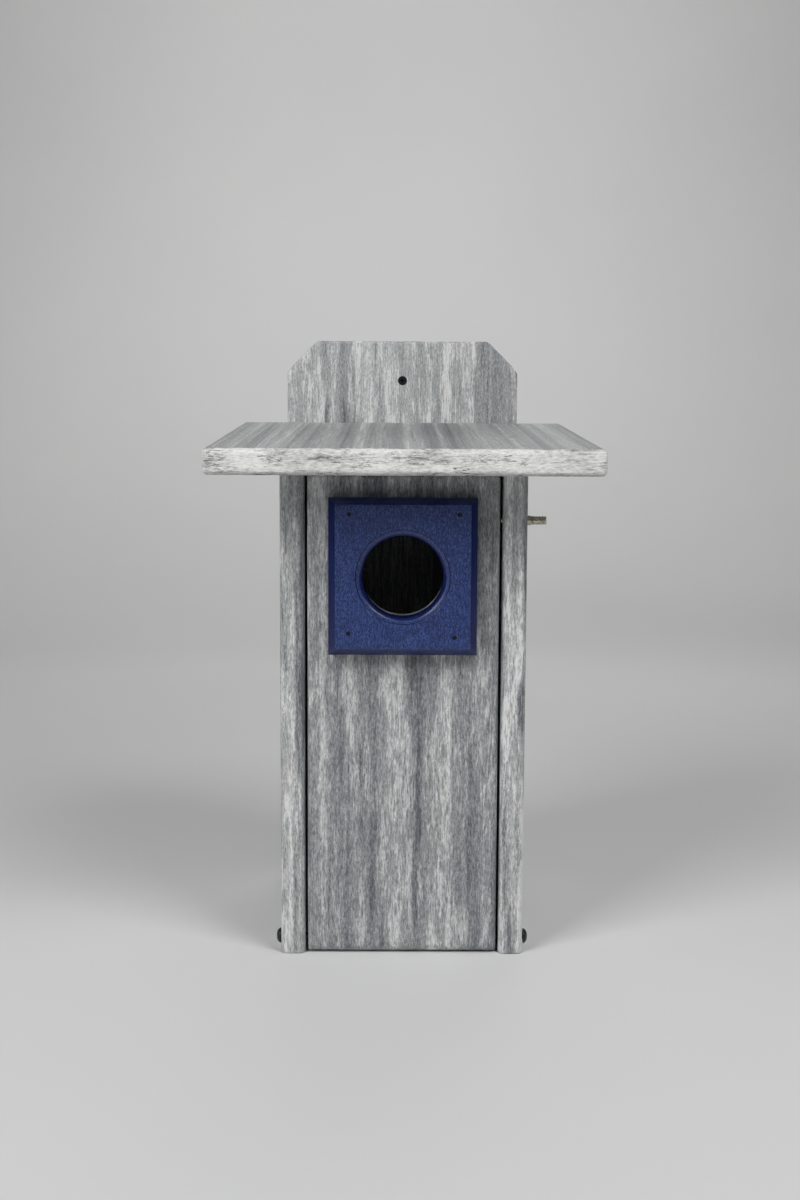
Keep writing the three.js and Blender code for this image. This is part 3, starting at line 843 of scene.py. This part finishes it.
def make_side_board(word):
    node = word + "_side"
    low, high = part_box(node)
    ease_low = Vector((SIDE_EASE, SIDE_EASE, SAW_EASE))
    ease_high = Vector((SIDE_EASE, SAW_EASE, SAW_EASE))

    def shape(point):
        """Slopes the top with the roof."""
        top = high.z - (high.y - point.y) * math.tan(ROOF_SLOPE)
        point.z = low.z + (point.z - low.z) * (top - low.z) / (high.z - low.z)
        return point

    seed = low.x * 90  # each side its own grain
    steps = steps_for(Z_AXIS, X_AXIS)
    piece = board(node + "_visual", low, high, ease_low, ease_high, Z_AXIS, seed, steps, shape)
    cutters = drill_holes(node)
    run = Vector((10 * MM, 0, 0))
    for y in VENT_Y:
        z = roof_underside(y) - VENT_BELOW_ROOF
        cutters.append(rod_between(Vector((low.x, y, z)) - run, Vector((high.x, y, z)) + run, VENT_RADIUS))
    if word == "right":
        bush_low, bush_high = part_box("latch_bush")
        centre = (bush_low + bush_high) / 2
        radius = (bush_high.z - bush_low.z) / 2 + HOLE_CLEARANCE
        cutters.append(rod_between(centre - 2 * run, centre + 2 * run, radius))
    cut(piece, cutters)
    return piece


def make_roof():
    place = roof_frame()
    box_low, box_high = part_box("roof")
    thickness = roof_thickness()
    half = (box_high.x - box_low.x) / 2
    length = (box_high.y - place.translation.y) / math.cos(ROOF_SLOPE)
    low, high = Vector((-half, 0, 0)), Vector((half, length, thickness))
    ease_low = uniform(ROOF_EASE)
    ease_high = Vector((ROOF_EASE, SAW_EASE, ROOF_EASE))

    def front_wear(point, normal):
        """Cracks and soft hollows in the sawn front edge."""
        facing = max(0.0, -normal.y)
        if facing < 0.3:
            return 0.0
        level = Vector((point.x / (16 * MM), 0.0, point.z / (2.3 * MM)))
        crack = max(0.0, 1 - abs(noise.noise(level)) / 0.10)
        presence = max(0.0, noise.noise(level * 0.31 + Vector((7, 0, 3))) + 0.25)
        hollow = max(0.0, noise.noise(level * 0.55 + Vector((2, 9, 4))))
        return facing * (0.30 * MM * crack * presence + 0.22 * MM * hollow)

    def shape(point):
        """Brings the rear edge upright, against the back board."""
        lean = point.z * math.tan(ROOF_SLOPE)
        weight = max(0.0, (point.y - 0.8 * length) / (0.2 * length))
        point.y += weight * lean
        return place @ point

    steps = [ACROSS_STEP, ALONG_STEP, 0.6 * MM]
    piece = board("roof_visual", low, high, ease_low, ease_high, Y_AXIS, 5.3, steps, shape, front_wear)
    cut(piece, drill_holes("roof"))
    mark_sawn_end(piece, place.inverted())
    return piece


def mark_sawn_end(piece, to_board):
    """Stores how far each vertex belongs to the sawn front, and its height in the board, both 0 to 1."""
    reach = 1.6 * ROOF_EASE
    thickness = roof_thickness()
    places = [to_board @ vertex.co for vertex in piece.data.vertices]
    end = piece.data.attributes.new("end", "FLOAT", "POINT")
    for item, place in zip(end.data, places):
        item.value = max(0.0, 1 - place.y / reach)
    # The height sets the painted shade at the foot of the sawn front.
    rise = piece.data.attributes.new("rise", "FLOAT", "POINT")
    for item, place in zip(rise.data, places):
        item.value = place.z / thickness


def make_floor():
    low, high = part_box("floor_panel")
    ease = uniform(SAW_EASE)
    piece = board("floor_panel_visual", low, high, ease, ease, Y_AXIS, 6.1, steps_for(Y_AXIS, Z_AXIS))
    centre = (low + high) / 2
    inset = (high.y - low.y) / 2 - DRAIN_INSET
    cutters = drill_holes("floor_panel")
    for sx in (-1, 1):
        for sy in (-1, 1):
            middle = Vector((centre.x + sx * DRAIN_X, centre.y + sy * inset, centre.z))
            run = Vector((0, 0, 12 * MM))
            cutters.append(rod_between(middle - run, middle + run, DRAIN_RADIUS))
    cut(piece, cutters)
    return piece


def make_front_panel():
    low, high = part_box("front_panel")
    ease_low = Vector((PANEL_EASE, PANEL_EASE, SAW_EASE))
    ease_high = Vector((PANEL_EASE, PANEL_BACK_EASE, PANEL_EASE))
    depth = high.y - low.y

    def shape(point):
        """Rolls the front face back towards the foot, so that the foot can turn on its pivots."""
        height = (point.z - low.z) / PANEL_HEEL
        if height < 1:
            roll = PANEL_HEEL * (1 - math.sqrt(1 - (1 - max(height, 0)) ** 2))
            point.y += roll * (high.y - point.y) / depth
        return point

    steps = steps_for(Z_AXIS, Y_AXIS)
    piece = board("front_panel_visual", low, high, ease_low, ease_high, Z_AXIS, 7.7, steps, shape,
                  low_marks=HEEL_MARKS)
    hole = entrance_centre()
    run = Vector((0, 20 * MM, 0))
    middle = Vector((hole.x, (low.y + high.y) / 2, hole.z))
    cutters = drill_holes("front_panel")
    cutters.append(rod_between(middle - run, middle + run, ENTRANCE_RADIUS + PANEL_HOLE_EXTRA, 96))
    width, groove, height = RUNG_SIZE
    for z in RUNG_Z:
        corner = Vector((-width / 2, high.y - groove, z - height / 2))
        cutters.append(box_mesh(corner, corner + Vector((width, 2 * groove, height))))
    cut(piece, cutters)
    return piece


# ------------------------------------------------------------------ the entrance plate
def entrance_centre():
    low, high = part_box("entrance_plate")
    return Vector(((low.x + high.x) / 2, low.y, (low.z + high.z) / 2))


def rectangle_walk(half_width, half_height, per_side):
    """Points round a rectangle, anticlockwise as (x, z), with its four corners among them."""
    corners = [(-1, -1), (1, -1), (1, 1), (-1, 1)]
    walk = []
    for (ax, az), (bx, bz) in zip(corners, corners[1:] + corners[:1]):
        for i in range(per_side):
            t = i / per_side
            walk.append(((ax + (bx - ax) * t) * half_width, (az + (bz - az) * t) * half_height))
    return walk


def plate_rings():
    """The plate's section in rings of points round its centre: hole, face, chamfer, rim and back."""
    low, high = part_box("entrance_plate")
    half_width, half_height = (high.x - low.x) / 2, (high.z - low.z) / 2
    thickness = high.y - low.y
    rim = rectangle_walk(half_width, half_height, PLATE_RIM_POINTS)
    angles = [math.atan2(z, x) for x, z in rim]

    def circle(radius, depth):
        return [(radius * math.cos(a), depth, radius * math.sin(a)) for a in angles]

    def square(inset, depth):
        scale_x, scale_z = (half_width - inset) / half_width, (half_height - inset) / half_height
        return [(x * scale_x, depth, z * scale_z) for x, z in rim]

    def between(first, second, share):
        return [tuple(a + (b - a) * share for a, b in zip(p, q)) for p, q in zip(first, second)]

    lip = ENTRANCE_RADIUS + PLATE_ROUND + PLATE_LIP
    rings = [circle(ENTRANCE_RADIUS, thickness - 0.4 * MM)]
    rings += [circle(ENTRANCE_RADIUS, thickness * share) for share in (0.8, 0.6, 0.45)]
    for step in range(9):
        turn = math.pi / 2 * step / 8
        radius = ENTRANCE_RADIUS + PLATE_ROUND * (1 - math.cos(turn))
        rings.append(circle(radius, PLATE_LEDGE + PLATE_ROUND * (1 - math.sin(turn))))
    rings.append(circle(lip, PLATE_LEDGE * 0.9))
    rings.append(circle(lip + 0.12 * MM, PLATE_LEDGE * 0.25))
    face_hole = circle(lip + 0.35 * MM, 0)
    face_edge = square(PLATE_CHAMFER, 0)
    rings += [between(face_hole, face_edge, i / PLATE_FACE_RINGS) for i in range(PLATE_FACE_RINGS + 1)]
    rings += [square(PLATE_CHAMFER / 2, PLATE_CHAMFER / 2), square(0, PLATE_CHAMFER)]
    rings += [square(0, PLATE_CHAMFER + (thickness - PLATE_CHAMFER) * share) for share in (0.5, 1)]
    back_edge, back_hole = square(1 * MM, thickness), circle(ENTRANCE_RADIUS + 0.4 * MM, thickness)
    return rings + [between(back_edge, back_hole, i / 4) for i in range(5)]


def make_entrance_plate():
    """A chamfered square plate with a rounded hole and softly broken edges."""
    rings = plate_rings()
    centre = entrance_centre()
    vertices = [Vector((x, y, z)) + centre for ring in rings for x, y, z in ring]
    mesh = mesh_from("entrance_plate_visual", vertices, hoop_faces(len(rings), len(rings[0])))
    piece = new_object("entrance_plate_visual", mesh)
    soften = piece.modifiers.new("soften", "BEVEL")
    soften.width = PLATE_ARRIS
    soften.segments = 2
    soften.limit_method = "ANGLE"
    soften.angle_limit = math.radians(30)
    apply_modifiers(piece)
    cut(piece, drill_holes("entrance_plate"))
    return piece


# ------------------------------------------------------------------ the latch
LATCH_GROOVES = 4
LATCH_GROOVE_DEPTH = 0.42 * MM
# One ridge and groove: share of the pitch, share of the depth.
LATCH_GROOVE_SHAPE = ((0.0, 0.0), (0.38, 0.0), (0.46, 1.0), (0.86, 1.0), (0.94, 0.0))
LATCH_SHANK = 1.38 * MM
LATCH_SIDES = 48
BUSH_BORE = 1.72 * MM
BUSH_EDGE = 0.25 * MM
BUSH_TO_GRIP = 0.3 * MM


def make_latch():
    """The ringed pin and its bush, turned about X."""
    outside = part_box("right_side")[1].x
    pin_low, pin_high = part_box("latch_pin")
    bush_low, bush_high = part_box("latch_bush")
    centre = (pin_low + pin_high) / 2
    place = Matrix.Translation((0, centre.y, centre.z)) @ Matrix.Rotation(math.pi / 2, 4, "Y")
    grip = (pin_high.z - pin_low.z) / 2
    shank = LATCH_SHANK
    collar = bush_high.x + BUSH_TO_GRIP
    profile = [(0, pin_low.x), (shank * 0.7, pin_low.x), (shank, pin_low.x + 0.5 * MM), (shank, collar)]
    profile += [(grip * 0.9, collar), (grip, collar + 0.12 * MM)]
    start, stop = collar + 0.5 * MM, pin_high.x - 0.5 * MM  # the grooved part
    pitch = (stop - start) / LATCH_GROOVES
    for groove in range(LATCH_GROOVES):
        for share, depth in LATCH_GROOVE_SHAPE:
            profile.append((grip - depth * LATCH_GROOVE_DEPTH, start + pitch * (groove + share)))
    end = pin_high.x
    profile += [(grip, stop), (grip * 0.96, end - 0.15 * MM), (grip * 0.85, end), (0, end)]
    pin = new_object("latch_pin_visual", lathe(profile, LATCH_SIDES, place))

    radius = (bush_high.z - bush_low.z) / 2
    groove, lip = radius - 0.18 * MM, bush_high.x - BUSH_EDGE
    ring = [
        (BUSH_BORE, bush_low.x), (radius, bush_low.x), (radius, outside), (radius, bush_high.x - 0.9 * MM),
        (groove, bush_high.x - 0.8 * MM), (groove, bush_high.x - 0.65 * MM),
        (radius, bush_high.x - 0.55 * MM), (radius, lip), (radius - BUSH_EDGE, bush_high.x),
        (BUSH_BORE + BUSH_EDGE, bush_high.x), (BUSH_BORE, lip),
    ]
    bush = new_object("latch_bush_visual", ring_lathe(ring, LATCH_SIDES, place))
    for piece in (pin, bush):
        shade(piece, 30)
    return pin, bush


# ------------------------------------------------------------------ camera, light and stage
CAMERA_LENS = 42.79
CAMERA_PLACE = Vector((-5.75, -720.0, 243.3)) * MM
CAMERA_PITCH = math.radians(5.913)
CAMERA_YAW = math.radians(-0.3525)
CAMERA_ROLL = math.radians(0.27)


def make_camera():
    camera = bpy.data.objects.new("camera", bpy.data.cameras.new("camera"))
    bpy.context.scene.collection.objects.link(camera)
    camera.data.sensor_fit = "AUTO"
    camera.data.sensor_width = 36
    camera.data.lens = CAMERA_LENS
    camera.data.clip_start = 0.01
    turn = (
        Matrix.Rotation(CAMERA_YAW, 4, "Z")
        @ Matrix.Rotation(math.pi / 2 - CAMERA_PITCH, 4, "X")
        @ Matrix.Rotation(CAMERA_ROLL, 4, "Z")
    )
    camera.matrix_world = Matrix.Translation(CAMERA_PLACE) @ turn
    bpy.context.scene.camera = camera


AIM = Vector((0, 0, 0.15))  # the middle of the house
KEY_DISTANCE = 1.5
WORLD_STRENGTH = 0.045


def area_light(name, place, target, size, power, spread=180):
    light = bpy.data.lights.new(name, "AREA")
    light.shape = "RECTANGLE"
    light.size, light.size_y = size
    light.energy = power
    light.spread = math.radians(spread)
    lamp = bpy.data.objects.new(name, light)
    bpy.context.scene.collection.objects.link(lamp)
    aim = (Vector(target) - Vector(place)).to_track_quat("-Z", "Y")
    lamp.matrix_world = Matrix.Translation(place) @ aim.to_matrix().to_4x4()
    lamp.visible_camera = False


SWEEP_HALF_WIDTH = 9.0
SWEEP_BACK_BEND = 1.0  # the floor starts to curve up here, well clear of any camera round the house
SWEEP_FRONT_BEND = -3.4
SWEEP_RADIUS = 0.9
SWEEP_HEIGHT = 3.2
SWEEP_COLUMNS = 12


def sweep_profile():
    """The stage's section in (y, z): a wall in front, the floor, and a wall behind."""
    bends = [math.pi / 2 * i / 24 for i in range(1, 25)]
    rises = [SWEEP_RADIUS + (SWEEP_HEIGHT - SWEEP_RADIUS) * i / 10 for i in range(1, 11)]
    half = [(SWEEP_RADIUS * math.sin(a), SWEEP_RADIUS * (1 - math.cos(a))) for a in bends]
    half += [(SWEEP_RADIUS, z) for z in rises]
    floor = [SWEEP_FRONT_BEND + (SWEEP_BACK_BEND - SWEEP_FRONT_BEND) * i / 22 for i in range(23)]
    front = [(SWEEP_FRONT_BEND - y, z) for y, z in reversed(half)]
    return front + [(y, 0.0) for y in floor] + [(SWEEP_BACK_BEND + y, z) for y, z in half]


def make_stage():
    """A floor that sweeps up into a backdrop well behind the house, and into another before it."""
    profile = sweep_profile()
    columns = SWEEP_COLUMNS
    span = [SWEEP_HALF_WIDTH * (2 * c / columns - 1) for c in range(columns + 1)]
    vertices = [(x, y, z) for y, z in profile for x in span]
    faces = []
    for row in range(len(profile) - 1):
        for c in range(columns):
            a = row * (columns + 1) + c
            faces.append((a, a + 1, a + columns + 2, a + columns + 1))
    sweep = new_object("studio_sweep", mesh_from("studio_sweep", vertices, faces))
    sweep.data.materials.append(studio_grey())
    shade(sweep, 60)


def orbit(azimuth, elevation, distance):
    """A place round the middle of the house; azimuth 0 is in front of it, and grows to the right."""
    turn, rise = math.radians(azimuth), math.radians(elevation)
    level = distance * math.cos(rise)
    return AIM + Vector((level * math.sin(turn), -level * math.cos(turn), distance * math.sin(rise)))


def make_lights():
    area_light("key_left", orbit(-43, 31, KEY_DISTANCE), AIM, (0.7, 0.75), 12.0)
    area_light("key_right", orbit(43, 42, KEY_DISTANCE), AIM, (0.7, 0.85), 10.3)
    area_light("backdrop_wide", (0, 0.6, 2.0), (0, 1.9, 0.4), (2.4, 0.5), 2.35, spread=120)
    area_light("backdrop_centre", (0, 0.5, 2.2), (0, 1.9, 0.35), (1.0, 0.4), 2.15, spread=70)
    area_light("rear_fill", orbit(172, 22, 1.35), AIM, (1.0, 0.6), 1.1, spread=110)
    area_light("front_floor", (0, -2.7, 2.6), (0, -2.9, 0), (3.0, 1.0), 3, spread=70)
    world = bpy.data.worlds.new("studio")
    bpy.context.scene.world = world
    world.use_nodes = True
    background = world.node_tree.nodes["Background"]
    background.inputs["Color"].default_value = (1, 1, 1, 1)
    background.inputs["Strength"].default_value = WORLD_STRENGTH
    bpy.context.scene.view_settings.view_transform = "Standard"


# ------------------------------------------------------------------ build
make_camera()
make_stage()
make_lights()

BOARDS = {
    "back_board": make_back_board,
    "left_side": lambda: make_side_board("left"),
    "right_side": lambda: make_side_board("right"),
    "roof": make_roof,
    "floor_panel": make_floor,
    "front_panel": make_front_panel,
}
for node, make in BOARDS.items():
    piece = make()
    shade(piece)
    finish_piece(piece, node, MATERIALS[node])

plate = make_entrance_plate()
shade(plate, 30)
finish_piece(plate, "entrance_plate", MATERIALS["entrance_plate"])

kind_meshes = {}
for node, kind, place, _ in PLAN:
    if kind not in kind_meshes:
        kind_meshes[kind] = fastener_mesh(kind)
    piece = new_object(node + "_visual", kind_meshes[kind].copy())
    piece.matrix_world = place
    if kind is NAIL:
        finish_piece(piece, node, NAIL_STEEL)
    else:
        finish_piece(piece, node, BLACK_METAL)

latch_pin, latch_bush = make_latch()
finish_piece(latch_pin, "latch_pin", BRASS)
finish_piece(latch_bush, "latch_bush", BRASS)
